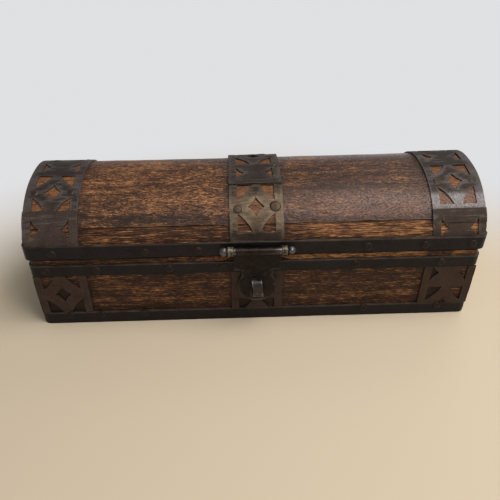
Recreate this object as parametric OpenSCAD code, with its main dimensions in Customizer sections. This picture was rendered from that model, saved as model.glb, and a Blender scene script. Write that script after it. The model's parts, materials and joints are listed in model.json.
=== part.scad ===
// Small domed wooden money box with pierced iron bands, a hasp and a staple.
// The origin is the middle of the underside: X runs along the box, the front faces -Y, Z is up.

/* [Box] */
// Length of the woodwork from end to end
body_len = 237.4; // [190:0.1:300]
// Depth of the woodwork from front to back
body_dep = 80; // [76:1:100]
// Height of the wooden box with its bottom board
box_h = 44; // [40:0.5:70]
// Thickness of the box's wall boards
wall_t = 6; // [5:0.5:9]
// Thickness of the bottom board
bottom_t = 4; // [3:0.5:8]
// Radius on the upright corners of the woodwork
corner_r = 3; // [1.5:0.5:4]

/* [Lid] */
// Distance that the lid stands past the box at each end
lid_over = 1; // [0:0.1:2]
// Gap between the rim of the box and the shut lid
rim_gap = 0.4; // [0.3:0.1:0.8]
// Height of the lid's upright side below the arch
lid_side_h = 5.8; // [4:0.2:9]
// Angle from the vertical at which the arch leaves the side
spring_angle = 65; // [58:1:68]
// Radius of the two shoulder arcs of the arch
shoulder_r = 40; // [34:0.5:41]
// Radius of the wide arc over the crown
crown_r = 81; // [60:1:140]
// Thickness of the bent top panel
panel_t = 3; // [2:0.5:4]
// Thickness of the lid's front and back rails
rail_t = 10; // [9:0.5:12]
// Height of the rails, where the seam to the panel runs
rail_h = 15; // [13:0.5:17]
// Open seam between a rail and the panel
seam_gap = 0.3; // [0.1:0.1:0.6]
// Thickness of the lid's arched end boards
lid_end_t = 6; // [4:0.5:9]

/* [Straps] */
// Thickness of the three straps that run round the box
strap_t = 1; // [0.6:0.1:1.5]
// Width of the strap round the foot
foot_strap_w = 7.7; // [5:0.1:10]
// Width of the strap under the rim
rim_strap_w = 6.7; // [5:0.1:9]
// Distance from the rim down to its strap
rim_strap_drop = 3.3; // [1:0.1:5]
// Width of the strap round the lid
lid_strap_w = 8.2; // [6.5:0.1:10]
// Height of the lid strap above the lid's lower edge
lid_strap_lift = 0.7; // [0.3:0.1:1.5]

/* [Pierced bands] */
// Width of a pierced band
band_w = 28; // [24:0.5:34]
// Thickness of the pierced sheet
band_t = 0.8; // [0.5:0.1:1.2]
// Width of the solid rail along each edge of a band
band_rail_w = 4.2; // [3:0.1:6]
// Height of a pierced cell between two solid bars
cell_h = 27; // [24:0.5:30]
// Height of a solid bar between two cells
bar_h = 20; // [14:0.5:26]
// Width of a corner opening
corner_cut_w = 7.6; // [5:0.1:8]
// Height of a corner opening
corner_cut_h = 9.8; // [8:0.1:11]
// Depth by which a corner opening's curved side bulges out
corner_cut_sag = 1; // [0.4:0.1:2]
// Half width of a diamond opening
diamond_hw = 4.4; // [3:0.1:5]
// Half height of a diamond opening
diamond_hh = 5.6; // [4:0.1:6.5]
// Depth by which the diamond's sides curve in
diamond_sag = 0.5; // [0.2:0.1:0.8]
// Middle of the front cell on the centre band, along the arch from the crown
centre_cell_s = 29.3; // [27:0.1:32]
// Middle of the front cell on the end bands, along the arch from the crown
end_cell_s = 17.5; // [15:0.1:20]
// Middle of the front cell that the left band's front piece continues
left_front_cell_s = 15.4; // [13:0.1:18]
// Middle of the front cell that the right band's front piece continues
right_front_cell_s = 20; // [17:0.1:22]
// Place of the lap on the centre band, along the arch from the crown
centre_lap_s = 15.3; // [13:0.1:17]
// Place of the lap on the left band, along the arch from the crown
left_lap_s = 29.2; // [27:0.1:34]
// Place of the lap on the right band, along the arch from the crown
right_lap_s = 33.6; // [27:0.1:34]
// Place of the lap at the back of the centre band, along the arch from the crown
centre_back_lap_s = 27.5; // [25:0.1:31]
// Place of the lap at the back of the end bands, along the arch from the crown
end_back_lap_s = 38; // [35:0.1:41]
// Length by which two pieces of a band lap
lap_len = 3; // [2:0.1:4]
// Distance by which the left nails of the centre band sit in front of the middle of their cells
centre_nail_slip = 1.3; // [0:0.1:1.4]
// Height of the middle of the cell on the left front plate
left_plate_cell_z = 21.3; // [18:0.1:24]
// Height of the middle of the cell on the right front plate
right_plate_cell_z = 6; // [3:0.1:9]
// Height of the middle of the cell on the centre front plate
centre_plate_cell_z = 1.5; // [-2:0.1:4]

/* [Hasp and staple] */
// Height of the hasp's rod above the lower edge of the lid strap
rod_lift = 4.7; // [4:0.1:6]
// Distance from the face of the lid strap to the rod's axis
rod_out = 3; // [2.8:0.1:4]
// Radius of the rod
rod_r = 0.95; // [0.8:0.05:1.2]
// Radius of the ball on each end of the rod
ball_r = 2.2; // [1.8:0.1:2.6]
// Thickness of the hasp plate
hasp_t = 0.9; // [0.7:0.1:1.1]
// Width of the hasp's rolled top
hasp_w = 24.4; // [20:0.2:28]
// Length of the hasp's square part below the rod
hasp_flap_l = 13.4; // [11:0.1:15]
// Width of the neck between the square part and the disc
hasp_neck_w = 16.6; // [13:0.2:19]
// Radius of the hasp's disc
disc_r = 10.5; // [9:0.1:12]
// Distance from the rod down to the middle of the disc
disc_drop = 24.1; // [22:0.1:26]
// Width of the slot in the disc
slot_w = 6; // [5.6:0.1:8]
// Height of the slot in the disc
slot_h = 13.7; // [12.4:0.1:14.5]
// Width of the eye that holds the rod
eye_w = 2.8; // [2:0.1:3.5]
// Radius of the eye
eye_r = 2.6; // [2.2:0.1:2.7]
// Width of the staple's strip
staple_w = 5.2; // [4:0.1:5.4]
// Thickness of the staple's strip
staple_t = 1.2; // [0.8:0.1:1.5]
// Height of the staple over both legs
staple_h = 11; // [10:0.1:12]
// Clear depth of the padlock eye in front of the hasp
eye_depth = 4.4; // [4.2:0.1:7]
// Depth to which the staple and the eyes are driven into the wood
leg_depth = 4.6; // [3:0.1:4.8]

/* [Hinges] */
// Distance from the middle of the box to each hinge
hinge_x = 60; // [45:1:75]
// Width of a hinge
hinge_w = 24; // [16:1:30]
// Thickness of a hinge leaf
leaf_t = 0.9; // [0.7:0.1:1.1]
// Radius of the hinge pin
pin_r = 0.95; // [0.8:0.05:1.1]

/* [Nails] */
// Radius of a nail's domed head
nail_head_r = 2.2; // [1.6:0.1:2.6]
// Height of a nail's domed head
nail_head_h = 0.9; // [0.5:0.1:1.2]
// Height of the flattened head of a nail in a band
band_nail_h = 0.5; // [0.3:0.1:0.8]
// Radius of a small nail's head
tack_head_r = 1.4; // [1:0.1:1.8]
// Radius of a nail's shank
nail_r = 0.7; // [0.5:0.05:0.9]
// Depth to which a nail is driven into the wood
nail_depth = 2.5; // [2:0.1:2.9]

/* [Hidden] */
$fn = 64;

wood = [0.34, 0.17, 0.08];
iron = [0.17, 0.14, 0.12];
worn_iron = [0.36, 0.31, 0.22];
steel = [0.45, 0.45, 0.46];

// Clearances
fit_gap = 0.05;      // round a shank, a leg or a pin
butt_gap = 0.15;     // between two sheet pieces that meet edge to edge
side_gap = 0.3;      // between parts that turn past each other
eps = 0.01;
reach = 400;         // longer than anything on the box
foot_lift = 0.2;     // from the ground to the foot strap

half_len = body_len / 2;
lid_half = half_len + lid_over;
half_dep = body_dep / 2;
face_y = half_dep + strap_t;     // outer face of the straps, front and back

// Heights of the straps
rim_strap_z = box_h - rim_strap_drop - rim_strap_w;
lid_z = box_h + rim_gap;
lid_strap_z = lid_z + lid_strap_lift;
lid_strap_top = lid_strap_z + lid_strap_w;
rail_top = lid_z + rail_h;

// The arch: two shoulder arcs that run tangent into one crown arc
spring_z = lid_z + lid_side_h;
shoulder_y = half_dep - shoulder_r * sin(spring_angle);
shoulder_z = spring_z - shoulder_r * cos(spring_angle);
crown_half = asin(shoulder_y / (crown_r - shoulder_r));
crown_z = shoulder_z - (crown_r - shoulder_r) * cos(crown_half);

// Length along the arch, measured on the outer face of the bands from the crown
band_crown_r = crown_r + band_t;
band_shoulder_r = shoulder_r + band_t;
crown_s = band_crown_r * crown_half * PI / 180;
foot_tuck = 0.8;     // how far a band goes down behind the lid strap
foot_tilt = acos((lid_strap_top - foot_tuck - shoulder_z) / band_shoulder_r);
foot_s = crown_s + band_shoulder_r * (foot_tilt - crown_half) * PI / 180;

// The pierced pattern
band_half = band_w / 2;
band_open = band_half - band_rail_w;
pattern_pitch = cell_h + bar_h;
end_band_x = lid_half - band_half;
end_plate_x = half_len - band_half;

// Hasp, rod and staple
rod_y = -face_y - rod_out;
rod_z = lid_strap_z + rod_lift;
barrel_r = rod_r + fit_gap + hasp_t;
plate_y = rod_y + rod_r + fit_gap;        // front face of the hasp plate
disc_z = rod_z - disc_drop;
slot_top = disc_z + slot_h / 2;
eye_x = hasp_w / 2 + side_gap;
ball_x = eye_x + eye_w + ball_r;
staple_drop = 0.7;                        // from the top of the slot down to the staple
staple_top = slot_top - staple_drop;
staple_front = plate_y - eye_depth - staple_t;
staple_bend = 3.2;                        // outer radius of the staple's bends
leg_y = leg_depth - half_dep;             // how deep the driven legs reach
shank_h = 1.8;                            // height of an eye's driven shank

// Hinges
knuckle_r = pin_r + fit_gap + leaf_t;
hinge_y = face_y + knuckle_r;
hinge_z = box_h + rim_gap / 2;
knuckle_w = hinge_w / 3;
leaf_clear = knuckle_r + side_gap;        // from the hinge axis to the edge of a leaf
leaf_inset = 0.6;                         // from the edge of a strap to the edge of the leaf on it
box_leaf_z = rim_strap_z + leaf_inset;
lid_leaf_top = lid_strap_top - leaf_inset;

// Nails along the front straps, as shares of the half length; driven by hand, so not evenly
lid_nails = [-0.88, -0.485, -0.255, 0.482, 0.735, 0.945];
rim_nails = [-0.93, -0.71, -0.39, -0.15, 0.443, 0.831];
foot_nails = [-0.87, -0.729, -0.53, 0.508, 0.863];
back_nails = [-0.9, -0.3, 0.3, 0.9];
end_nail_y = half_dep * 0.45;
lid_nail_drop = 0.4;     // from the middle of the lid strap down to its nails
hinge_nail_lift = 0.6;   // from the middle of the lid strap up to the hinge nails
band_nail_inset = 0.4;   // from the inner edge of an end band's rail to its nails
tack_inset = 3;          // from the edge of the centre band to its small nails
tack_s = 2.6;            // from the crown to the small nails

// ---- The arch ------------------------------------------------------------------------------

// Tilt of the arch from the vertical at arc length s, negative towards the front
function arc_tilt(s) = abs(s) <= crown_s
    ? s / band_crown_r * 180 / PI
    : sign(s) * (crown_half + (abs(s) - crown_s) / band_shoulder_r * 180 / PI);

// Point on the wood's surface at arc length s
function arc_point(s) = abs(s) <= crown_s
    ? [0, crown_r * sin(arc_tilt(s)), crown_z + crown_r * cos(arc_tilt(s))]
    : [0, sign(s) * shoulder_y + shoulder_r * sin(arc_tilt(s)), shoulder_z + shoulder_r * cos(arc_tilt(s))];

// Stands children on the wood at arc length s: local Z points out, local Y runs towards the back
module at_arc(s) {
    translate(arc_point(s))
        rotate([-arc_tilt(s), 0, 0])
            children();
}

// Fan from the middle of an arc between two tilts, all in the Y-Z plane
module fan_2d(y, z, tilt_a, tilt_b) {
    mid = (tilt_a + tilt_b) / 2;
    polygon([
        [y, z],
        [y + reach * sin(tilt_a), z + reach * cos(tilt_a)],
        [y + reach * sin(mid), z + reach * cos(mid)],
        [y + reach * sin(tilt_b), z + reach * cos(tilt_b)]
    ]);
}

// Everything under the arch, grown outwards by off, down to the lid's lower edge
module arch_2d(off = 0) {
    intersection() {
        translate([-reach / 2, lid_z])
            square([reach, reach]);
        union() {
            intersection() {
                translate([0, crown_z])
                    circle(r = crown_r + off);
                fan_2d(0, crown_z, -crown_half, crown_half);
            }
            for (side = [-1, 1])
                intersection() {
                    translate([side * shoulder_y, shoulder_z])
                        circle(r = shoulder_r + off);
                    fan_2d(side * shoulder_y, shoulder_z, side * crown_half, side * spring_angle);
                }
            translate([-half_dep - off, lid_z])
                square([body_dep + 2 * off, spring_z - lid_z]);
        }
    }
}

// One arc's share of the sheet from s_a to s_b: arc -1 is the front shoulder, 0 the crown, 1 the back.
// All three meet on the same two rays from the middle of the crown arc
module arc_sheet_2d(arc, s_a, s_b, low, high) {
    r = arc == 0 ? crown_r : shoulder_r;
    y = arc * shoulder_y;
    z = arc == 0 ? crown_z : shoulder_z;
    tilt_a = arc_tilt(s_a);
    tilt_b = arc_tilt(s_b);
    starts = tilt_a < (arc == -1 ? -crown_half : arc == 0 ? crown_half : tilt_b);
    ends = tilt_b > (arc == 1 ? crown_half : arc == 0 ? -crown_half : tilt_a);
    if (starts && ends)
        intersection() {
            translate([y, z])
                difference() {
                    circle(r = r + high);
                    circle(r = r + low);
                }
            if (arc == -1)
                fan_2d(0, crown_z, -spring_angle, -crown_half);
            if (arc == 0)
                fan_2d(0, crown_z, -crown_half, crown_half);
            if (arc == 1)
                fan_2d(0, crown_z, crown_half, spring_angle);
            fan_2d(y, z, max(tilt_a, -spring_angle), min(tilt_b, spring_angle));
        }
}

// Extrudes a Y-Z outline along X, centred on x
module along_x(x, len) {
    translate([x - len / 2, 0, 0])
        rotate([90, 0, 90])
            linear_extrude(len)
                children();
}

// ---- The pierced pattern -------------------------------------------------------------------

// Corner opening: two straight sides on the axes and one arc that bulges out
module corner_cut_2d() {
    side_len = norm([corner_cut_w, corner_cut_h]);
    side_r = (side_len * side_len / 4 + corner_cut_sag * corner_cut_sag) / (2 * corner_cut_sag);
    back = side_r - corner_cut_sag;
    intersection() {
        translate([
            corner_cut_w / 2 - back * corner_cut_h / side_len,
            corner_cut_h / 2 - back * corner_cut_w / side_len
        ])
            circle(r = side_r, $fn = 128);
        square([corner_cut_w, corner_cut_h]);
    }
}

// Diamond whose four sides curve in
module diamond_2d() {
    side_len = norm([diamond_hw, diamond_hh]);
    side_r = (side_len * side_len / 4 + diamond_sag * diamond_sag) / (2 * diamond_sag);
    mid_shift = side_r - diamond_sag;
    difference() {
        polygon([[diamond_hw, 0], [0, diamond_hh], [-diamond_hw, 0], [0, -diamond_hh]]);
        for (sx = [-1, 1], sy = [-1, 1])
            translate([
                sx * (diamond_hw / 2 + mid_shift * diamond_hh / side_len),
                sy * (diamond_hh / 2 + mid_shift * diamond_hw / side_len)
            ])
                circle(r = side_r);
    }
}

// Half a diamond against the right-hand rail
module side_cut_2d() {
    intersection() {
        translate([band_open, 0])
            diamond_2d();
        translate([0, -diamond_hh])
            square([band_open, 2 * diamond_hh]);
    }
}

// Openings of one cell and the bar above it on a flat plate; the origin is the cell's middle
module pattern_2d() {
    diamond_2d();
    for (sx = [0, 1], sy = [0, 1])
        mirror([sx, 0])
            mirror([0, sy])
                translate([band_open, cell_h / 2])
                    mirror([1, 0])
                        mirror([0, 1])
                            corner_cut_2d();
    for (sx = [0, 1])
        mirror([sx, 0])
            translate([0, pattern_pitch / 2])
                side_cut_2d();
}

// One opening cut square through the band at arc length s
module arc_cut(s) {
    at_arc(s)
        translate([0, 0, -band_t])
            linear_extrude(4 * band_t)
                children();
}

// Openings of a band round the arch, from a front cell whose middle is cell_s before the crown
module arc_pattern(cell_s) {
    for (k = [-1:1]) {
        s = k * pattern_pitch - cell_s;
        if (abs(s) < foot_s)
            arc_cut(s)
                diamond_2d();
        for (end = [-1, 1], sx = [0, 1]) {
            cut_s = s + end * (cell_h - corner_cut_h) / 2;
            if (abs(cut_s) < foot_s)
                arc_cut(cut_s)
                    mirror([sx, 0])
                        mirror([0, end < 0 ? 0 : 1])
                            translate([band_open, -corner_cut_h / 2])
                                mirror([1, 0])
                                    corner_cut_2d();
        }
        side_s = s + pattern_pitch / 2;
        for (sx = [0, 1])
            if (abs(side_s) < foot_s)
                arc_cut(side_s)
                    mirror([sx, 0])
                        side_cut_2d();
    }
}

// Piece of a band from s_a to s_b. A positive lap_a or lap_b raises that end over its neighbour
module band_piece(x, s_a, s_b, cell_s, lap_a = 0, lap_b = 0) {
    step_l = band_t + butt_gap;          // length of the step where a raised end comes down
    lie_a = lap_a > 0 ? s_a + lap_a + butt_gap : s_a;
    lie_b = lap_b > 0 ? s_b - lap_b - butt_gap : s_b;
    lift = band_t + fit_gap / 2;
    for (arc = [-1:1])
        difference() {
            along_x(x, band_w) {
                arc_sheet_2d(arc, lie_a, lie_b, 0, band_t);
                if (lap_a > 0) {
                    arc_sheet_2d(arc, s_a, lie_a + step_l, lift, 2 * band_t);
                    arc_sheet_2d(arc, lie_a, lie_a + step_l, 0, 2 * band_t);
                }
                if (lap_b > 0) {
                    arc_sheet_2d(arc, lie_b - step_l, s_b, lift, 2 * band_t);
                    arc_sheet_2d(arc, lie_b - step_l, lie_b, 0, 2 * band_t);
                }
            }
            translate([x, 0, 0])
                arc_pattern(cell_s);
            at_band_nails()
                nail_bore(band_t * 2);
        }
}

// Flat pierced plate between the foot strap and the rim strap, on the front or the back
module wall_plate(x, back, cell_z) {
    low = foot_strap_w + butt_gap;
    high = rim_strap_z - butt_gap;
    rotate([0, 0, back ? 180 : 0])
        translate([back ? -x : x, -half_dep, 0])
            rotate([90, 0, 0])
                linear_extrude(band_t)
                    difference() {
                        translate([-band_half, low])
                            square([band_w, high - low]);
                        translate([0, cell_z])
                            pattern_2d();
                    }
}

// ---- Nails ---------------------------------------------------------------------------------

// Nail with its domed head standing on z = 0 and its shank driven down
module nail(head_r, head_h, cover_t) {
    cap_r = (head_r * head_r + head_h * head_h) / (2 * head_h);
    intersection() {
        translate([0, 0, head_h - cap_r])
            sphere(r = cap_r);
        cylinder(r = head_r, h = head_h);
    }
    translate([0, 0, -cover_t - nail_depth])
        cylinder(r = nail_r, h = cover_t + nail_depth + head_h / 2);
}

// Hole for a nail's shank below z = 0
module nail_bore(cover_t) {
    translate([0, 0, -cover_t - nail_depth - fit_gap])
        cylinder(r = nail_r + fit_gap, h = 2 * cover_t + nail_depth + 1);
}

// Stands children on the strap at height z, all round the box
module at_strap_nails(front_shares, z, over = 0) {
    for (share = front_shares)
        translate([share * (half_len + over), -face_y, z])
            rotate([90, 0, 0])
                children();
    for (share = back_nails)
        translate([share * (half_len + over), face_y, z])
            rotate([-90, 0, 0])
                children();
    for (side = [-1, 1], y = [-end_nail_y, end_nail_y])
        translate([side * (half_len + over + strap_t), y, z])
            rotate([0, side * 90, 0])
                children();
}

module at_foot_nails() {
    at_strap_nails(foot_nails, bottom_t + (foot_strap_w - bottom_t) / 2)
        children();
}

module at_rim_nails() {
    at_strap_nails(rim_nails, rim_strap_z + rim_strap_w / 2)
        children();
}

module at_lid_nails() {
    at_strap_nails(lid_nails, lid_strap_z + lid_strap_w / 2 - lid_nail_drop, lid_over)
        children();
}

// Nails at the waist of each cell, on the rails, in front of and behind the crown
module at_band_nails() {
    for (k = [0, 1], side = [-1, 1]) {
        at_arc(k * pattern_pitch - centre_cell_s - (side < 0 ? centre_nail_slip : 0))
            translate([side * band_open, 0, band_t])
                children();
        for (band_x = [-end_band_x, end_band_x])
            at_arc(k * pattern_pitch - end_cell_s)
                translate([band_x + side * (band_open - band_nail_inset), 0, band_t])
                    children();
    }
}

// Small nails near the crown of the centre band
module at_band_tacks() {
    for (side = [-1, 1])
        at_arc(side * tack_s)
            translate([side * (band_half - tack_inset), 0, band_t])
                children();
}

// ---- Box -----------------------------------------------------------------------------------

// Upright block with the rounded corners of the woodwork, grown all round by grow and at the ends by over
module rounded_block(z, h, over = 0, grow = 0) {
    r = corner_r + grow;
    end_x = half_len + over + grow;
    translate([0, 0, z])
        linear_extrude(h)
            union() {
                square([2 * (end_x - r), body_dep + 2 * grow], center = true);
                square([2 * end_x, body_dep + 2 * grow - 2 * r], center = true);
                for (sx = [-1, 1], sy = [-1, 1])
                    translate([sx * (end_x - r), sy * (half_dep + grow - r)])
                        circle(r = r);
            }
}

module bottom_board() {
    color(wood)
        rounded_block(0, bottom_t);
}

module wall_board(side) {
    intersection() {
        rounded_block(bottom_t, box_h - bottom_t);
        translate([-half_len, side < 0 ? -half_dep : half_dep - wall_t, 0])
            cube([body_len, wall_t, box_h]);
    }
}

module front_board() {
    color(wood)
        difference() {
            wall_board(-1);
            staple_leg_slots();
            at_foot_nails()
                nail_bore(strap_t);
            at_rim_nails()
                nail_bore(strap_t);
        }
}

module back_board() {
    color(wood)
        difference() {
            wall_board(1);
            at_foot_nails()
                nail_bore(strap_t);
            at_rim_nails()
                nail_bore(strap_t);
            at_hinge_nails(-1)
                nail_bore(leaf_t + strap_t);
        }
}

module box_end(side) {
    color(wood)
        difference() {
            translate([side < 0 ? -half_len : half_len - wall_t, wall_t - half_dep, bottom_t])
                cube([wall_t, body_dep - 2 * wall_t, box_h - bottom_t]);
            at_foot_nails()
                nail_bore(strap_t);
            at_rim_nails()
                nail_bore(strap_t);
        }
}

module left_end_board() { box_end(-1); }
module right_end_board() { box_end(1); }

// Strap bent once round the woodwork
module strap_ring(z, w, over = 0) {
    difference() {
        rounded_block(z, w, over, strap_t);
        rounded_block(z - 1, w + 2, over);
    }
}

module foot_strap() {
    color(iron)
        difference() {
            strap_ring(foot_lift, foot_strap_w - foot_lift);
            at_foot_nails()
                nail_bore(strap_t);
        }
}

module rim_strap() {
    color(iron)
        difference() {
            strap_ring(rim_strap_z, rim_strap_w);
            at_rim_nails()
                nail_bore(strap_t);
            at_hinge_nails(-1)
                nail_bore(leaf_t + strap_t);
        }
}

module front_plate_left() {
    color(iron)
        wall_plate(-end_plate_x, false, left_plate_cell_z);
}

module front_plate_centre() {
    color(iron)
        difference() {
            wall_plate(0, false, centre_plate_cell_z);
            staple_leg_slots();
        }
}

module front_plate_right() {
    color(iron)
        wall_plate(end_plate_x, false, right_plate_cell_z);
}

module back_plate_left() {
    color(iron)
        wall_plate(-end_plate_x, true, right_plate_cell_z);
}

module back_plate_centre() {
    color(iron)
        wall_plate(0, true, left_plate_cell_z);
}

module back_plate_right() {
    color(iron)
        wall_plate(end_plate_x, true, left_plate_cell_z);
}

// Side view of the staple's loop, as wide as grow makes it
module staple_2d() {
    depth = leg_y - staple_front;
    translate([staple_front, staple_top - staple_h])
        difference() {
            union() {
                translate([staple_bend, 0])
                    square([depth - staple_bend, staple_h]);
                translate([0, staple_bend])
                    square([depth, staple_h - 2 * staple_bend]);
                for (z = [staple_bend, staple_h - staple_bend])
                    translate([staple_bend, z])
                        circle(r = staple_bend);
            }
            translate([staple_bend, staple_t])
                square([depth, staple_h - 2 * staple_t]);
            translate([staple_t, staple_bend])
                square([depth, staple_h - 2 * staple_bend]);
            for (z = [staple_bend, staple_h - staple_bend])
                translate([staple_bend, z])
                    circle(r = staple_bend - staple_t);
        }
}

module staple() {
    color(steel)
        along_x(0, staple_w)
            staple_2d();
}

// Slots for the staple's legs in the front board and the plate
module staple_leg_slots() {
    for (z = [staple_top - staple_t, staple_top - staple_h])
        translate([-staple_w / 2 - fit_gap, -face_y, z - fit_gap])
            cube([staple_w + 2 * fit_gap, face_y + leg_y + fit_gap, staple_t + 2 * fit_gap]);
}

module foot_strap_nails() {
    color(iron)
        at_foot_nails()
            nail(nail_head_r, nail_head_h, strap_t);
}

module rim_strap_nails() {
    color(iron)
        at_rim_nails()
            nail(nail_head_r, nail_head_h, strap_t);
}

// ---- Lid -----------------------------------------------------------------------------------

module lid_rail(side) {
    color(wood)
        difference() {
            intersection() {
                along_x(0, 2 * lid_half)
                    arch_2d();
                rounded_block(lid_z, rail_h, lid_over);
                translate([-lid_half, side < 0 ? -half_dep : half_dep - rail_t, lid_z])
                    cube([2 * lid_half, rail_t, rail_h]);
            }
            at_lid_nails()
                nail_bore(strap_t);
            if (side < 0)
                eye_shank_slots();
            if (side > 0)
                at_hinge_nails(1)
                    nail_bore(leaf_t + strap_t);
        }
}

module lid_front_rail() { lid_rail(-1); }
module lid_back_rail() { lid_rail(1); }

module lid_end(side) {
    color(wood)
        difference() {
            along_x(side * (lid_half - lid_end_t / 2), lid_end_t)
                intersection() {
                    arch_2d(-panel_t - fit_gap);
                    translate([rail_t - half_dep, 0])
                        square([body_dep - 2 * rail_t, reach]);
                }
            at_lid_nails()
                nail_bore(strap_t);
        }
}

module lid_left_end() { lid_end(-1); }
module lid_right_end() { lid_end(1); }

module lid_panel() {
    color(wood)
        difference() {
            along_x(0, 2 * lid_half)
                difference() {
                    intersection() {
                        arch_2d();
                        translate([-reach / 2, rail_top + seam_gap])
                            square([reach, reach]);
                    }
                    arch_2d(-panel_t);
                }
            at_band_nails()
                nail_bore(band_t);
            at_band_tacks()
                nail_bore(band_t);
        }
}

module lid_strap() {
    color(iron)
        difference() {
            strap_ring(lid_strap_z, lid_strap_w, lid_over);
            at_lid_nails()
                nail_bore(strap_t);
            eye_shank_slots();
            at_hinge_nails(1)
                nail_bore(leaf_t + strap_t);
        }
}

module left_band_front() {
    color(iron)
        intersection() {
            band_piece(-end_band_x, -foot_s, -left_lap_s, left_front_cell_s, lap_b = lap_len);
            rounded_block(lid_z, reach, lid_over);
        }
}

module left_band_top() {
    color(iron)
        band_piece(-end_band_x, -left_lap_s - lap_len, end_back_lap_s + lap_len, end_cell_s);
}

module left_band_back() {
    color(iron)
        intersection() {
            band_piece(-end_band_x, end_back_lap_s, foot_s, end_cell_s, lap_a = lap_len);
            rounded_block(lid_z, reach, lid_over);
        }
}

module centre_band_front() {
    color(worn_iron)
        band_piece(0, -foot_s, -centre_lap_s + lap_len, centre_cell_s);
}

module centre_band_top() {
    color(iron)
        difference() {
            band_piece(0, -centre_lap_s, centre_back_lap_s, centre_cell_s, lap_a = lap_len, lap_b = lap_len);
            at_band_tacks()
                nail_bore(band_t);
        }
}

module centre_band_back() {
    color(worn_iron)
        band_piece(0, centre_back_lap_s - lap_len, foot_s, centre_cell_s);
}

module right_band_front() {
    color(iron)
        intersection() {
            band_piece(end_band_x, -foot_s, -right_lap_s, right_front_cell_s, lap_b = lap_len);
            rounded_block(lid_z, reach, lid_over);
        }
}

module right_band_top() {
    color(iron)
        band_piece(end_band_x, -right_lap_s - lap_len, end_back_lap_s + lap_len, end_cell_s);
}

module right_band_back() {
    color(iron)
        intersection() {
            band_piece(end_band_x, end_back_lap_s, foot_s, end_cell_s, lap_a = lap_len);
            rounded_block(lid_z, reach, lid_over);
        }
}

module lid_strap_nails() {
    color(iron)
        at_lid_nails()
            nail(nail_head_r, nail_head_h, strap_t);
}

module band_nails() {
    color(iron) {
        at_band_nails()
            nail(nail_head_r, band_nail_h, band_t);
        at_band_tacks()
            nail(tack_head_r, band_nail_h, band_t);
    }
}

// Ring round the rod, with a shank driven through the strap into the rail
module hasp_eye(side) {
    x = side < 0 ? -eye_x - eye_w : eye_x;
    color(steel)
        difference() {
            union() {
                translate([x, rod_y, rod_z])
                    rotate([0, 90, 0])
                        cylinder(r = eye_r, h = eye_w);
                translate([x, rod_y, rod_z - shank_h / 2])
                    cube([eye_w, leg_y - rod_y, shank_h]);
            }
            translate([x - 1, rod_y, rod_z])
                rotate([0, 90, 0])
                    cylinder(r = rod_r + fit_gap, h = eye_w + 2);
        }
}

module hasp_eye_left() { hasp_eye(-1); }
module hasp_eye_right() { hasp_eye(1); }

module eye_shank_slots() {
    for (x = [-eye_x - eye_w, eye_x])
        translate([x - fit_gap, rod_y, rod_z - shank_h / 2 - fit_gap])
            cube([eye_w + 2 * fit_gap, leg_y - rod_y + fit_gap, shank_h + 2 * fit_gap]);
}

module hasp_rod() {
    color(steel) {
        translate([-ball_x, rod_y, rod_z])
            rotate([0, 90, 0])
                cylinder(r = rod_r, h = 2 * ball_x);
        for (side = [-1, 1])
            translate([side * ball_x, rod_y, rod_z])
                sphere(r = ball_r);
    }
}

// ---- Hasp ----------------------------------------------------------------------------------

module hasp() {
    color(iron)
        difference() {
            union() {
                translate([-hasp_w / 2, rod_y, rod_z])
                    rotate([0, 90, 0])
                        cylinder(r = barrel_r, h = hasp_w);
                translate([0, plate_y + hasp_t, 0])
                    rotate([90, 0, 0])
                        linear_extrude(hasp_t)
                            difference() {
                                union() {
                                    translate([-hasp_w / 2, rod_z - hasp_flap_l])
                                        square([hasp_w, hasp_flap_l]);
                                    translate([-hasp_neck_w / 2, disc_z])
                                        square([hasp_neck_w, disc_drop - hasp_flap_l / 2]);
                                    translate([0, disc_z])
                                        circle(r = disc_r);
                                }
                                translate([-slot_w / 2, slot_top - slot_h])
                                    square([slot_w, slot_h]);
                            }
            }
            translate([-hasp_w, rod_y, rod_z])
                rotate([0, 90, 0])
                    cylinder(r = rod_r + fit_gap, h = 2 * hasp_w);
        }
}

// ---- Hinges --------------------------------------------------------------------------------

// Nails of the hinge leaves: side -1 for the box, 1 for the lid
module at_hinge_nails(side) {
    z = side < 0 ? rim_strap_z + rim_strap_w / 2 : lid_strap_z + lid_strap_w / 2 + hinge_nail_lift;
    for (x = [-hinge_x, hinge_x], dx = [-hinge_w / 4, hinge_w / 4])
        translate([x + dx, face_y + leaf_t, z])
            rotate([-90, 0, 0])
                children();
}

// Leaf with its rolled knuckles: side -1 takes the two outer knuckles, 1 the middle one
module hinge_leaf(x, side) {
    low = side < 0 ? box_leaf_z : hinge_z + leaf_clear;
    high = side < 0 ? hinge_z - leaf_clear : lid_leaf_top;
    starts = side < 0 ? [-hinge_w / 2, knuckle_w / 2 + side_gap / 2] : [-knuckle_w / 2 + side_gap / 2];
    own_w = side < 0 ? knuckle_w - side_gap / 2 : knuckle_w - side_gap;
    color(iron)
        difference() {
            union() {
                translate([x - hinge_w / 2, face_y, low])
                    cube([hinge_w, leaf_t, high - low]);
                for (start = starts) {
                    translate([x + start, face_y, min(hinge_z, high - eps)])
                        cube([own_w, leaf_t, leaf_clear + eps]);
                    translate([x + start, hinge_y, hinge_z])
                        rotate([0, 90, 0])
                            cylinder(r = knuckle_r, h = own_w);
                }
            }
            translate([x - hinge_w, hinge_y, hinge_z])
                rotate([0, 90, 0])
                    cylinder(r = pin_r + fit_gap, h = 2 * hinge_w);
            at_hinge_nails(side)
                nail_bore(leaf_t + strap_t);
        }
}

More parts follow.
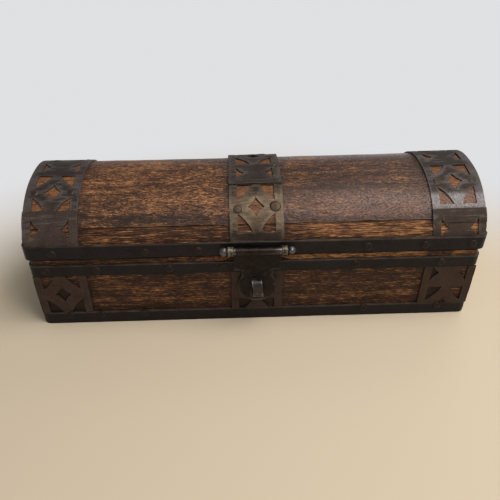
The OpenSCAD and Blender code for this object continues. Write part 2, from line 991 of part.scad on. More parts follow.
module hinge_leaf_box_left() { hinge_leaf(-hinge_x, -1); }
module hinge_leaf_box_right() { hinge_leaf(hinge_x, -1); }
module hinge_leaf_lid_left() { hinge_leaf(-hinge_x, 1); }
module hinge_leaf_lid_right() { hinge_leaf(hinge_x, 1); }

module hinge_box_nails() {
    color(iron)
        at_hinge_nails(-1)
            nail(tack_head_r, band_nail_h, leaf_t + strap_t);
}

module hinge_lid_nails() {
    color(iron)
        at_hinge_nails(1)
            nail(tack_head_r, band_nail_h, leaf_t + strap_t);
}

module hinge_pin(x) {
    color(steel)
        translate([x - hinge_w / 2, hinge_y, hinge_z])
            rotate([0, 90, 0])
                cylinder(r = pin_r, h = hinge_w);
}

module hinge_pin_left() { hinge_pin(-hinge_x); }
module hinge_pin_right() { hinge_pin(hinge_x); }

bottom_board();
front_board();
back_board();
left_end_board();
right_end_board();
foot_strap();
rim_strap();
front_plate_left();
front_plate_centre();
front_plate_right();
back_plate_left();
back_plate_centre();
back_plate_right();
staple();
foot_strap_nails();
rim_strap_nails();
hinge_leaf_box_left();
hinge_leaf_box_right();
hinge_pin_left();
hinge_pin_right();
hinge_box_nails();
lid_front_rail();
lid_back_rail();
lid_left_end();
lid_right_end();
lid_panel();
lid_strap();
left_band_front();
left_band_top();
left_band_back();
centre_band_front();
centre_band_top();
centre_band_back();
right_band_front();
right_band_top();
right_band_back();
lid_strap_nails();
band_nails();
hasp_eye_left();
hasp_eye_right();
hasp_rod();
hinge_leaf_lid_left();
hinge_leaf_lid_right();
hinge_lid_nails();
hasp();
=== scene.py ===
import json
import math
from itertools import product

import bmesh
import bpy
import numpy as np
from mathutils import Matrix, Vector, noise

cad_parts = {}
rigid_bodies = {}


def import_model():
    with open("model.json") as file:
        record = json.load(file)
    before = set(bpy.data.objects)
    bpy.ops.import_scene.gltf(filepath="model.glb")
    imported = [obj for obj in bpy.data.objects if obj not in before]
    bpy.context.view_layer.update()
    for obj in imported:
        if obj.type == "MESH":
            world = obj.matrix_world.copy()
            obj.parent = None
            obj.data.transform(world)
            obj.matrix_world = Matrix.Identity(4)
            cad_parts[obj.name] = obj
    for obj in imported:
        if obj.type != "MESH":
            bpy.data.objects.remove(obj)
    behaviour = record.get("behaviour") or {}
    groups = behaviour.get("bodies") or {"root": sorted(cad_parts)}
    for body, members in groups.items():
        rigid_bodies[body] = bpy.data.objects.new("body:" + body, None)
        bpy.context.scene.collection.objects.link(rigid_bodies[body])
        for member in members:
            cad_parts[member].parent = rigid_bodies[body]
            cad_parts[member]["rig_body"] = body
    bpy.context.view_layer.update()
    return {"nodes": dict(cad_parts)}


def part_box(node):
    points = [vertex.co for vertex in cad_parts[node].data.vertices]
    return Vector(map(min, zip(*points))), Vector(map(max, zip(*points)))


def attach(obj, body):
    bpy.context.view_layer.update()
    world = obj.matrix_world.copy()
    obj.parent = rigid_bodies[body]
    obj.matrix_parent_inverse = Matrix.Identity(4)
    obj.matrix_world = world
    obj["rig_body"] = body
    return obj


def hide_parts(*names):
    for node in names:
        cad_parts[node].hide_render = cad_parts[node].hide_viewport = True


bl_info = {
    "name": "Wooden Money Box",
    "version": (1, 0, 0),
    "blender": (4, 5, 0),
    "location": "View3D > Sidebar > Money Box",
    "description": "Dresses a small domed money box in stained wood and hand-beaten iron",
    "category": "Add Mesh",
}

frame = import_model()
NODES = frame["nodes"]

# The arch of the lid and the sheet iron that lies on it, in metres
SHOULDER_R = 0.040
CROWN_R = 0.081
SPRING_ANGLE = math.radians(65)
R_STEP = CROWN_R - SHOULDER_R
RAIL_LOW, RAIL_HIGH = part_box("lid_front_rail")
LID_FOOT, LID_TOP = RAIL_LOW.z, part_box("lid_panel")[1].z
CROWN_HALF = math.asin((-RAIL_LOW.y - SHOULDER_R * math.sin(SPRING_ANGLE)) / R_STEP)
BAND_T = 0.0008
LAP_RAMP = 0.0075
LAP_MERGE = 0.00004

# Strips across the arch that are rubbed bright, the second (on the right band) also a painted highlight:
# where each end fades in, as the run along the arch from the crown, negative at the front
SHINE_RUNS = (-0.0175, -0.0255), (-0.0450, -0.0365)
RUBBED_HIGHLIGHT_RUNS = (-0.0225, -0.0265), (-0.036, -0.031)

# Other sizes and limits of shapes, in metres
SKIN = 0.001  # a face this close to a board's inner or end face belongs to it
FACES_UP_Z = 0.055  # above this height a band faces up, below it outwards
DEEPEST_DENT = 0.00004
CENTRE_BAND_REACH = 0.03  # band nails nearer the middle than this are on the centre band
ROLL_R = 0.0019  # rolled top of the hasp
ROLL_SKIN = 0.00015
ROD_R = 0.00115
EYE_LEG_Y = -0.0415  # the eyes' legs, behind this, keep their shape

# Bands as the wood sees them, in millimetres from the box's middle: their edges, and the dirt beside them
CENTRE_EDGE_MM, CENTRE_DIRT_MM = (12.2, 13.4), (13.5, 19.0)
END_EDGE_MM, END_DIRT_MM = (92.0, 93.2), (85.0, 90.5)
# Heights on the wood, in millimetres: the box's lip, lighter towards the right end, and where the lid's
# shoulder with its painted sheen starts and ends
LIP_MM, SHOULDER_START_MM, SHOULDER_END_MM = (39.8, 41.5), (59.5, 65.0), (67.5, 72.5)

# A nail's head in rings from its foot to its top: radius and height, as shares of its own
NAIL_SIDES = 28
NAIL_RINGS = (
    (1.2, -0.10), (1.13, 0.08), (1.0, 0.09), (1.03, 0.22),
    (0.97, 0.50), (0.80, 0.80), (0.55, 0.96), (0.28, 1.0),
)

# Dark and pale colours that the settings leave alone: pores and dirt, the painted shade on the tops of the
# end bands, and the painted sheen on the lid's right shoulder
ORIGIN = (0.0, 0.0, 0.0)
PORE = (0.014, 0.007, 0.005, 1.0)
DIRT = (0.010, 0.007, 0.006, 1.0)
# painted shade on the tops of the end bands
TOP_SHADE = (0.012, 0.011, 0.011, 1.0)
# painted sheen on the lid's right lower shoulder
PAINTED_SHEEN = (0.300, 0.185, 0.145, 1.0)

# Camera and floor: metres, millimetres of lens, degrees
CAMERA_PLACE = (-0.01331, -0.27319, 0.22336)
CAMERA_TURN = (53.02, 0.0, -2.341)
CAMERA_LENS = 40.46
FLOOR_HALF = 3.0
FLOOR_MIDDLE, FLOOR_FADE = (0.0, -0.12, 0.0), (0.18, 0.31)  # the floor's colour fades out with the distance


# ---- Sizes and colours that a user would change ---------------------------------------------


def length(name, description, default, high=0.01):
    """A length in metres, shown in the scene's own unit."""
    return bpy.props.FloatProperty(
        name=name, description=description, default=default, min=0.0, soft_max=high, subtype="DISTANCE",
        unit="LENGTH", precision=5,
    )


def colour(name, description, default):
    """A linear colour with full alpha."""
    return bpy.props.FloatVectorProperty(
        name=name, description=description, default=(*default, 1.0), size=4, min=0.0, max=1.0, subtype="COLOR"
    )


class WoodSettings(bpy.types.PropertyGroup):
    """Finish of the boards"""

    deep: colour(
        "Deep stain", "Colour of the darkest fibres and of the stain in the corners", (0.019, 0.0085, 0.0045)
    )
    stain: colour("Stain", "Main colour of the stained wood", (0.086, 0.034, 0.0140))
    worn: colour(
        "Worn fibres", "Colour where the stain is rubbed off the raised fibres", (0.245, 0.101, 0.036)
    )
    bright: colour("Bare fibres", "Colour of the most worn fibres", (0.46, 0.220, 0.082))
    inside: colour("Inside", "Colour of the bare wood inside the box", (0.30, 0.185, 0.10))
    grain_depth: length("Grain depth", "Height of the raised fibres", 0.00035, high=0.001)
    edge: length("Edge rounding", "Radius worn onto the edges of the boards", 0.0005, high=0.002)
    lid_warp: length("Lid warp", "How strongly the crown rises towards the right end", 0.0011)
    unevenness: length("Unevenness", "How far a board's face strays from flat", 0.00016, high=0.001)


class IronSettings(bpy.types.PropertyGroup):
    """Finish of the straps, bands, plates and nails"""

    strap: colour("Strap iron", "Colour of the blackened straps", (0.0152, 0.0134, 0.0138))
    band: colour("Band iron", "Colour of the pierced bands", (0.066, 0.046, 0.037))
    bronze: colour(
        "Bronzed iron", "Colour of the rubbed front piece of the centre band", (0.108, 0.073, 0.046)
    )
    plate: colour("Plate iron", "Colour of the pierced plates on the walls", (0.048, 0.031, 0.024))
    nail: colour("Nail iron", "Colour of the nail heads", (0.022, 0.016, 0.0135))
    rust: colour("Brown stain", "Colour of the brown stain on the iron", (0.075, 0.034, 0.018))
    bare: colour("Bare iron", "Colour where edges are rubbed bare", (0.22, 0.20, 0.18))
    wave: length("Strap wave", "How far the edges of the straps wander", 0.00042, high=0.002)
    ripple: length("Band ripple", "How far the edges of the bands wander", 0.00020, high=0.001)
    hammer: length("Hammering", "Depth of the hammer marks", 0.00010, high=0.001)
    head_height: length("Nail head height", "Height of a strap nail's head", 0.0009, high=0.003)


class LockSettings(bpy.types.PropertyGroup):
    """Finish of the hasp, its rod and the staple"""

    hasp: colour("Hasp iron", "Colour of the hasp", (0.0140, 0.0108, 0.0090))
    steel: colour("Steel", "Colour of the rod, its balls and the staple", (0.13, 0.12, 0.115))
    eye: colour("Eye metal", "Colour of the eyes that hold the rod", (0.050, 0.037, 0.024))
    staple_lean: length("Staple lean", "How far the staple's foot leans sideways", 0.0011, high=0.003)


class StageSettings(bpy.types.PropertyGroup):
    """Floor, light and camera"""

    floor: colour("Floor", "Colour of the pale floor under the box", (0.66, 0.545, 0.395))
    backdrop: colour("Backdrop", "Colour of the pale floor further back", (0.745, 0.750, 0.765))
    key_power: bpy.props.FloatProperty(
        name="Key light", description="Power of the large soft lamp", default=4.6, min=0.0, unit="POWER"
    )
    world_strength: bpy.props.FloatProperty(
        name="Daylight", description="Strength of the even light all round", default=0.27, min=0.0
    )


SETTINGS = {
    "moneybox_wood": WoodSettings,
    "moneybox_iron": IronSettings,
    "moneybox_lock": LockSettings,
    "moneybox_stage": StageSettings,
}


# ---- Mesh helpers ---------------------------------------------------------------------------


def wander(point, scale, seed):
    """Smooth value from -1 to 1 that depends only on the place."""
    p = Vector(point) * (1.0 / scale) + Vector((seed * 7.31, seed * 3.17, seed * 5.53))
    return noise.noise(p)


def fade(a, b, x):
    """0 below a, 1 above b, smooth between."""
    t = min(max((x - a) / (b - a), 0.0), 1.0)
    return t * t * (3 - 2 * t)


def scaled(shade, share):
    """The colour times a share, or times one share for each of red, green and blue."""
    return [*np.multiply(shade[:3], share).tolist(), 1.0]


def new_piece(name, data):
    """New object in the scene."""
    piece = bpy.data.objects.new(name, data)
    bpy.context.scene.collection.objects.link(piece)
    return piece


def paint(piece, name, value_of):
    """Gives each vertex a value, under a name that the materials read."""
    values = piece.data.attributes.new(name, "FLOAT", "POINT").data
    for v in piece.data.vertices:
        values[v.index].value = value_of(v.co)


def slice_faces(points, faces, axis, at):
    """Splits every triangle that the plane at that value of the axis crosses."""
    away = points[:, axis] - at
    away[np.abs(away) < 2e-6] = 0.0
    side = np.sign(away).astype(int)[faces]
    crossed = (side.min(1) < 0) & (side.max(1) > 0)
    whole, torn, side = faces[~crossed], faces[crossed], side[crossed]
    if not len(torn):
        return points, faces
    # Turned so that the first corner is on the plane, or is the one alone on its side
    on_plane = (side == 0).any(1)
    lone = np.where(
        on_plane, np.argmax(side == 0, 1), np.argmax(side == -side.sum(1)[:, None].clip(-1, 1), 1)
    )
    turned = np.stack([torn[np.arange(len(torn)), (lone + i) % 3] for i in range(3)], 1)
    touch, apart = turned[on_plane], turned[~on_plane]
    edges = np.sort(np.concatenate([touch[:, [1, 2]], apart[:, [0, 1]], apart[:, [0, 2]]]), 1)
    unique, place = np.unique(edges, axis=0, return_inverse=True)
    place = place.ravel() + len(points)
    a, b = points[unique[:, 0]], points[unique[:, 1]]
    share = (away[unique[:, 0]] / (away[unique[:, 0]] - away[unique[:, 1]]))[:, None]
    new = a + share * (b - a)
    new[:, axis] = at
    mid, ab, ac = np.split(place, [len(touch), len(touch) + len(apart)])
    pieces = [
        whole,
        np.stack([touch[:, 0], touch[:, 1], mid], 1),
        np.stack([touch[:, 0], mid, touch[:, 2]], 1),
        np.stack([apart[:, 0], ab, ac], 1),
        np.stack([ab, apart[:, 1], apart[:, 2]], 1),
        np.stack([ab, apart[:, 2], ac], 1),
    ]
    return np.concatenate([points, new]), np.concatenate(pieces)


def copy_of(node, name, step=0.0, axes="xyz"):
    """New object with the node's own shape, cut into a grid so that it can be worked."""
    bm = bmesh.new()
    bm.from_mesh(NODES[node].data)
    bmesh.ops.remove_doubles(bm, verts=bm.verts, dist=1e-6)
    if step > 0:
        bmesh.ops.triangulate(bm, faces=bm.faces)
    bmesh.ops.recalc_face_normals(bm, faces=bm.faces)
    mesh = bpy.data.meshes.new(name)
    bm.to_mesh(mesh)
    bm.free()
    if step > 0:
        points = np.array([v.co for v in mesh.vertices], dtype=float)
        faces = np.array([f.vertices for f in mesh.polygons])
        low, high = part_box(node)
        for letter in axes:
            axis = "xyz".index(letter)
            first, last = math.floor(low[axis] / step) + 1, math.ceil(high[axis] / step)
            for i in range(first, last):
                points, faces = slice_faces(points, faces, axis, i * step)
        mesh.clear_geometry()
        mesh.from_pydata(points.tolist(), [], faces.tolist())
    return new_piece(name, mesh)


def work(piece, shape):
    """Moves each vertex by what shape(place, normal) gives, in metres."""
    mesh = piece.data
    moves = [shape(v.co.copy(), v.normal.copy()) for v in mesh.vertices]
    for v, move in zip(mesh.vertices, moves):
        v.co += Vector(move)
    mesh.update()


def warp_lid(mesh):
    """The lid is not quite even: its crown stands higher at the right end than at the left."""
    s = bpy.context.scene.moneybox_wood
    for v in mesh.vertices:
        along = v.co.x / RAIL_HIGH.x
        up = min(max((v.co.z - LID_FOOT) / (LID_TOP - LID_FOOT), 0.0), 1.0)
        v.co.z += s.lid_warp * up * (along + 0.5 * along * along)


def finish_piece(piece, node, slot, materials, edge=0.0, crease=40.0, segments=2):
    """Smooth faces, sharp and rounded edges, the materials, and the node that the piece stands for."""
    mesh = piece.data
    body = NODES[node]["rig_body"]
    if body == "lid":
        warp_lid(mesh)
    mesh.shade_smooth()
    mesh.set_sharp_from_angle(angle=math.radians(crease))
    if edge > 0:
        bevel = piece.modifiers.new("worn_edges", "BEVEL")
        bevel.width = edge
        bevel.segments = segments
        bevel.limit_method = "ANGLE"
        bevel.angle_limit = math.radians(crease)
        bevel.use_clamp_overlap = True
    for material in materials:
        mesh.materials.append(material)
    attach(piece, body)
    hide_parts(node)


def nail_places(node):
    """For each nail of the node: the middle of its head's underside, the way it faces and its radius."""
    bm = bmesh.new()
    bm.from_mesh(NODES[node].data)
    bmesh.ops.remove_doubles(bm, verts=bm.verts, dist=1e-6)
    left = set(bm.verts)
    places = []
    while left:
        start = left.pop()
        group, edge = [start], [start]
        while edge:
            v = edge.pop()
            for e in v.link_edges:
                o = e.other_vert(v)
                if o in left:
                    left.remove(o)
                    group.append(o)
                    edge.append(o)
        co = np.array([v.co for v in group])
        centre = co.mean(0)
        far = np.linalg.norm(co - centre, axis=1)
        way = centre - co[far > 0.98 * far.max()].mean(0)
        for _ in range(2):
            way /= np.linalg.norm(way)
            along = (co - centre) @ way
            across = np.linalg.norm((co - centre) - np.outer(along, way), axis=1)
            rim = co[across > 0.95 * across.max()].mean(0)
            way = rim - co[along < along.min() + 0.0003].mean(0)
        way /= np.linalg.norm(way)
        radius = np.linalg.norm(np.cross(co - rim, way), axis=1).max()
        places.append((Vector(rim), Vector(way), float(radius)))
    bm.free()
    places.sort(key=lambda p: (round(p[0].x, 4), round(p[0].y, 4), round(p[0].z, 4)))
    return places


def head_share(node, base):
    """Nails of the centre band are beaten out wide, those of the end bands hardly at all."""
    if node != "band_nails":
        return 1.0
    return 0.8 if abs(base.x) > CENTRE_BAND_REACH else 1.12 if base.x > 0 else 0.88


def nail_heads(node, name, height):
    """Hand-beaten heads, one for each nail of the node, joined into one object."""
    bm = bmesh.new()
    for number, (base, way, radius) in enumerate(nail_places(node)):
        side = way.orthogonal().normalized()
        up = way.cross(side)
        radius *= head_share(node, base)
        tilt = 0.10 * wander((number, 0.5, 0.5), 1.7, 11)
        rows = []
        for share_r, share_h in NAIL_RINGS:
            row = []
            for i in range(NAIL_SIDES):
                a = 2 * math.pi * i / NAIL_SIDES
                c, d = math.cos(a), math.sin(a)
                around = Vector((c, d, number * 2.3))
                r = radius * share_r * (
                    1 + 0.045 * noise.noise(around * 1.3) + 0.02 * noise.noise(around * 3.1)
                )
                beaten = noise.noise(Vector((c * share_r, d * share_r, number * 1.9)) * 1.6)
                h = height * (share_h + 0.16 * share_h * beaten) + tilt * r * c * share_h
                row.append(bm.verts.new(base + side * (r * c) + up * (r * d) + way * h))
            rows.append(row)
        top = bm.verts.new(base + way * height * 1.01)
        for low, high in zip(rows, rows[1:]):
            for i in range(NAIL_SIDES):
                j = (i + 1) % NAIL_SIDES
                bm.faces.new((low[i], low[j], high[j], high[i]))
        for i in range(NAIL_SIDES):
            bm.faces.new((rows[-1][i], rows[-1][(i + 1) % NAIL_SIDES], top))
        bm.faces.new(list(reversed(rows[0])))
    bmesh.ops.recalc_face_normals(bm, faces=bm.faces)
    mesh = bpy.data.meshes.new(name)
    bm.to_mesh(mesh)
    bm.free()
    return new_piece(name, mesh)


# ---- Shader helpers -------------------------------------------------------------------------


class Net:
    """Adds nodes to a tree and joins them."""

    def __init__(self, tree):
        self.tree = tree

    def put(self, socket, value):
        if isinstance(value, bpy.types.NodeSocket):
            self.tree.links.new(value, socket)
        else:
            socket.default_value = value

    def fill(self, node, inputs):
        for key, value in inputs.items():
            self.put(node.inputs[key], value)
        return node

    def add(self, kind, inputs=None, **settings):
        node = self.tree.nodes.new(kind)
        for key, value in settings.items():
            setattr(node, key, value)
        return self.fill(node, inputs or {})

    def maths(self, operation, *values, clamp=False):
        inputs = dict(enumerate(values))
        return self.add("ShaderNodeMath", inputs, operation=operation, use_clamp=clamp).outputs[0]

    def times(self, a, b, clamp=False):
        return self.maths("MULTIPLY", a, b, clamp=clamp)

    def most(self, a, b):
        return self.maths("MAXIMUM", a, b)

    def onto(self, base, value, share, clamp=False):
        """The value times a share, added to the base."""
        return self.maths("MULTIPLY_ADD", value, share, base, clamp=clamp)

    def sway(self, base, value, share):
        """Like onto, with the value counted from one half."""
        return self.onto(base, self.maths("SUBTRACT", value, 0.5), share)

    def vector(self, operation, a, b):
        return self.add("ShaderNodeVectorMath", {0: a, 1: b}, operation=operation).outputs[0]

    def split(self, place):
        """X, Y and Z of a place."""
        return self.add("ShaderNodeSeparateXYZ", {0: place}).outputs

    def mix(self, share, a, b):
        inputs = {0: share, 6: a, 7: b}
        return self.add("ShaderNodeMix", inputs, data_type="RGBA", clamp_factor=True).outputs[2]

    def span(self, value, a, b, c=0.0, d=1.0, smooth=False):
        """Carries a value from a..b over to c..d, and holds it at the ends."""
        inputs = {"Value": value, "From Min": a, "From Max": b, "To Min": c, "To Max": d}
        kind = "SMOOTHSTEP" if smooth else "LINEAR"
        return self.add("ShaderNodeMapRange", inputs, interpolation_type=kind, clamp=True).outputs[0]

    def noise(self, vector, scale, detail=4.0, roughness=0.55, distortion=0.0):
        inputs = {"Vector": vector, "Scale": scale, "Detail": detail, "Roughness": roughness}
        return self.add("ShaderNodeTexNoise", {**inputs, "Distortion": distortion}).outputs[0]

    def attribute(self, name):
        """The value that paint gave to each vertex, or 0 where there is none."""
        return self.add("ShaderNodeAttribute", attribute_name=name).outputs["Fac"]

    def bump(self, height, strength, distance):
        inputs = {"Height": height, "Strength": strength, "Distance": distance}
        return self.add("ShaderNodeBump", inputs).outputs[0]

    def ramp(self, value, stops):
        node = self.add("ShaderNodeValToRGB", {0: value})
        elements = node.color_ramp.elements
        while len(elements) < len(stops):
            elements.new(0.5)
        for element, (place, shade) in zip(elements, stops):
            element.position = place
            element.color = (*shade[:3], 1.0)
        return node.outputs[0]

    def group(self, build, **inputs):
        """Outputs of the shader node group that build makes, built the first time it is asked for."""
        tree = bpy.data.node_groups.get(build.__name__) or build(build.__name__)
        return self.add("ShaderNodeGroup", inputs, node_tree=tree).outputs

    def give(self, **outputs):
        """Ends a group with one float output for each value."""
        for name in outputs:
            self.tree.interface.new_socket(name=name, in_out="OUTPUT", socket_type="NodeSocketFloat")
        self.add("NodeGroupOutput", outputs)
        return self.tree


def new_group(name, **inputs):
    """Net and inputs of a new shader node group: a number makes a float socket, a triple a vector."""
    tree = bpy.data.node_groups.new(name, "ShaderNodeTree")
    for key, default in inputs.items():
        kind = "NodeSocketFloat" if isinstance(default, float) else "NodeSocketVector"
        tree.interface.new_socket(name=key, in_out="INPUT", socket_type=kind).default_value = default
    net = Net(tree)
    return net, net.add("NodeGroupInput").outputs


def wood_grain(name):
    """Fibres, patches and pores of stained wood along X; the place comes in metres."""
    net, given = new_group(name, Place=ORIGIN, Wear=0.0, Stretch=(1.0, 1.0, 1.0), Shift=ORIGIN)
    place = net.vector("MULTIPLY", given["Place"], given["Stretch"])
    place = net.vector("ADD", place, given["Shift"])
    drift = {"Vector": net.vector("MULTIPLY", place, (0.35, 1.0, 1.0)), "Scale": 55.0, "Detail": 2.0}
    drift = net.add("ShaderNodeTexNoise", drift).outputs["Color"]
    drift = net.vector("SUBTRACT", drift, (0.5, 0.5, 0.5))
    bent = net.vector("ADD", place, net.vector("MULTIPLY", drift, (0.0, 0.0045, 0.0045)))

    def drawn_out(share):
        """The bent place, with that share of its length along the grain."""
        return net.vector("MULTIPLY", bent, (share, 1.0, 1.0))

    fibre = net.noise(drawn_out(0.17), 3000.0, 4.0, 0.62, 0.2)
    thread = net.noise(drawn_out(0.11), 1600.0, 4.0, 0.60, 0.4)
    patch = net.noise(drawn_out(0.35), 100.0, 3.0, 0.55)
    band = net.noise(drawn_out(0.040), 260.0, 2.0, 0.5)
    tone = 0.5
    for value, share in ((fibre, 2.0), (thread, 1.7), (patch, 0.65), (band, 0.70)):
        tone = net.sway(tone, value, share)
    tone = net.maths("ADD", tone, given["Wear"])
    cells = {"Vector": drawn_out(0.085), "Scale": 900.0, "Randomness": 1.0}
    cells = net.add("ShaderNodeTexVoronoi", cells, feature="F1").outputs["Distance"]
    pores = net.span(cells, 0.16, 0.30, 1.0, 0.0, smooth=True)
    pores = net.times(pores, net.span(patch, 0.40, 0.58, 0.25, 1.0))
    height = net.maths("SUBTRACT", net.onto(fibre, thread, 0.8), net.times(pores, 0.5))
    return net.give(Tone=tone, Streak=fibre, Pores=pores, Height=height)


def iron_age(name):
    """Mottling, brown stain, scratches and rubbed edges of old sheet iron; the place comes in metres."""
    net, given = new_group(name, Place=ORIGIN, Edge=0.5, Rub=0.5, Worn=0.0, Shift=ORIGIN)
    place = net.vector("ADD", given["Place"], given["Shift"])
    fine = net.noise(place, 1500.0, 6.0, 0.7)
    broad = net.noise(place, 120.0, 4.0, 0.6)
    blotch = net.noise(place, 330.0, 5.0, 0.65, 0.4)
    mottle = net.sway(net.sway(0.5, fine, 0.95), broad, 0.45)
    stain = net.span(net.onto(blotch, fine, 0.35), 0.62, 0.88, smooth=True)
    rub_edge = net.span(given["Edge"], 0.515, 0.62)
    patchy = net.span(net.onto(broad, fine, 0.6), 0.62, 1.05)
    scratch = net.noise(net.vector("MULTIPLY", place, (1.0, 0.12, 0.12)), 2300.0, 3.0, 0.8)
    scratch = net.span(scratch, 0.66, 0.76)
    bare = net.times(rub_edge, net.onto(0.35, patchy, 0.9))
    bare = net.most(bare, net.times(scratch, net.times(patchy, 0.30)))
    bare = net.times(bare, given["Rub"], clamp=True)
    # Worn marks rubbed iron, used also for painted highlights
    bare = net.most(bare, net.times(given["Worn"], net.span(fine, 0.38, 0.62, 0.15, 1.0)))
    grime = net.span(given["Edge"], 0.44, 0.495, 1.0, 0.0, smooth=True)
    pits = net.span(net.noise(place, 700.0, 3.0, 0.6), 0.30, 0.42, smooth=True)
    height = net.onto(net.onto(net.times(pits, 0.35), blotch, 0.6), fine, 0.35)
    return net.give(Mottle=mottle, Stain=stain, Bare=bare, Grime=grime, Height=height)


def near_band(name):
    """Where a place on the woodwork is: under a pierced band, beside one, how far right, how far up (mm),
    on the front shoulder of the lid where the painted sheen goes, or in the dirt behind the plates."""
    net, given = new_group(name, Place=ORIGIN)
    x, y, z = net.split(net.vector("MULTIPLY", given["Place"], (1000.0, 1000.0, 1000.0)))
    away = net.maths("ABSOLUTE", x)
    centre = net.span(away, *CENTRE_EDGE_MM, 1.0, 0.0)
    end = net.span(away, *END_EDGE_MM)
    beside = net.most(net.span(away, *CENTRE_DIRT_MM, 1.0, 0.0), net.span(away, *END_DIRT_MM))
    rising = net.span(z, *SHOULDER_START_MM, 0.25, 1.0, smooth=True)
    shoulder = net.times(rising, net.span(z, *SHOULDER_END_MM, 1.0, 0.0, smooth=True))
    shoulder = net.times(shoulder, net.span(y, -10.0, -18.0))
    left = net.times(net.span(x, -90.0, -91.5), net.span(z, 26.0, 21.0))
    right = net.times(net.span(x, 90.0, 91.5), net.span(x, 103.0, 105.0, 1.0, 0.0))
    stained = net.most(net.most(left, right), net.times(centre, 0.6))
    side = net.span(x, -60.0, 60.0)
    return net.give(
        Covered=net.most(centre, end), Beside=beside, Side=side, Up=z, Stained=stained, Shoulder=shoulder
    )


def made_once(build):
    """Builds the material of a name the first time, and finds it again after that."""

    def find(name, *values, **settings):
        return bpy.data.materials.get(name) or build(name, *values, **settings)

    return find


def new_material(name):
    """An empty node material, its net, its Principled shader and the place on the object."""
    material = bpy.data.materials.new(name)
    material.use_nodes = True
    tree = material.node_tree
    tree.nodes.clear()
    net = Net(tree)
    surface = net.add("ShaderNodeBsdfPrincipled")
    net.add("ShaderNodeOutputMaterial", {"Surface": surface.outputs[0]})
    return material, net, surface, net.add("ShaderNodeTexCoord").outputs["Object"]


@made_once
def wood_material(
    name, wear=0.0, gloss=0.42, shift=ORIGIN, dark_low=0.0, dark_high=0.0, depth=0.0, covered_wear=0.10,
    even=0.0, shine=0.36, sheen_side=0.0, painted_sheen=0.0, right_tone=0.0, lip_right_tone=0.0, stretch=1.0,
    plate_stain=0.0, across=False,
):
    """Stained wood. Wear lightens it; between dark_low and dark_high (mm up) the wood goes from darker to
    plain; a painted sheen can be laid on the lid's right shoulder.
    """
    s = bpy.context.scene.moneybox_wood
    material, net, surface, place = new_material(name)
    near = net.group(near_band, Place=place)
    side = near["Side"]
    # Lighter or darker towards the right end, and the box's lip lighter towards the right
    bias = net.onto(wear, near["Covered"], covered_wear)
    bias = net.onto(bias, side, right_tone)
    if lip_right_tone:
        bias = net.onto(bias, net.times(net.span(near["Up"], *LIP_MM), side), lip_right_tone)
    # Darker between dark_low and dark_high (mm up), less so towards the right
    if depth:
        deep = net.span(near["Up"], dark_low, dark_high, depth, 0.0, smooth=True)
        deep = net.times(deep, net.span(side, 0.4, 1.0, 1.0, 0.2))
        bias = net.maths("SUBTRACT", bias, deep)
    bias = net.onto(bias, near["Beside"], -0.13)
    if across:
        place = net.add(
            "ShaderNodeMapping", {"Vector": place, "Rotation": (0.0, 0.0, math.pi / 2)}
        ).outputs[0]
    if plate_stain:
        bias = net.onto(bias, near["Stained"], -plate_stain)
    stretch = (stretch, 1.0, 1.0)
    grain = net.group(wood_grain, Place=place, Wear=bias, Stretch=stretch, Shift=shift)
    kept = net.times(near["Covered"], even)
    # On the right the grain is flattened as part of the painted sheen
    tone = net.mix(net.times(side, 0.4 * painted_sheen), grain["Tone"], (0.46, 0.46, 0.46, 1.0))
    tone = net.mix(kept, tone, (0.77, 0.77, 0.77, 1.0))
    half = [0.5 * (a + b) for a, b in zip(s.deep, s.stain)]
    shade = net.ramp(tone, [(0.22, s.deep), (0.40, half), (0.55, s.stain), (0.74, s.worn), (0.95, s.bright)])
    shade = net.mix(net.times(grain["Pores"], 0.72), shade, PORE)
    # Painted sheen: a pale pinkish colour with glints along the fibres on the lid's right lower shoulder,
    # standing in for the highlight there
    if painted_sheen:
        share = net.times(near["Shoulder"], net.span(side, 0.35, 0.95, 0.0, painted_sheen))
        glint = net.span(grain["Streak"], 0.40, 0.60, 0.05, 1.5)
        shade = net.mix(net.times(share, glint), shade, PAINTED_SHEEN)
    rough = net.onto(gloss + 0.22, grain["Streak"], -0.30)
    rough = net.onto(rough, side, -sheen_side)
    net.fill(surface, {
        "Base Color": shade,
        "Roughness": net.onto(rough, kept, 0.5),
        "Specular IOR Level": shine,
        "Normal": net.bump(grain["Height"], 0.85, s.grain_depth),
    })
    return material


@made_once
def inside_wood_material(name):
    """Bare, dusty wood of the inside faces."""
    s = bpy.context.scene.moneybox_wood
    material, net, surface, place = new_material(name)
    grain = net.group(wood_grain, Place=place, Shift=(0.31, 0.12, 0.0))
    dark = scaled(s.inside, 0.42)
    shade = net.ramp(grain["Tone"], [(0.25, dark), (0.5, s.inside), (0.85, scaled(s.inside, 1.35))])
    net.fill(surface, {
        "Base Color": net.mix(net.times(grain["Pores"], 0.35), shade, dark),
        "Roughness": net.onto(0.66, grain["Streak"], 0.15),
        "Normal": net.bump(grain["Height"], 0.5, s.grain_depth),
    })
    return material


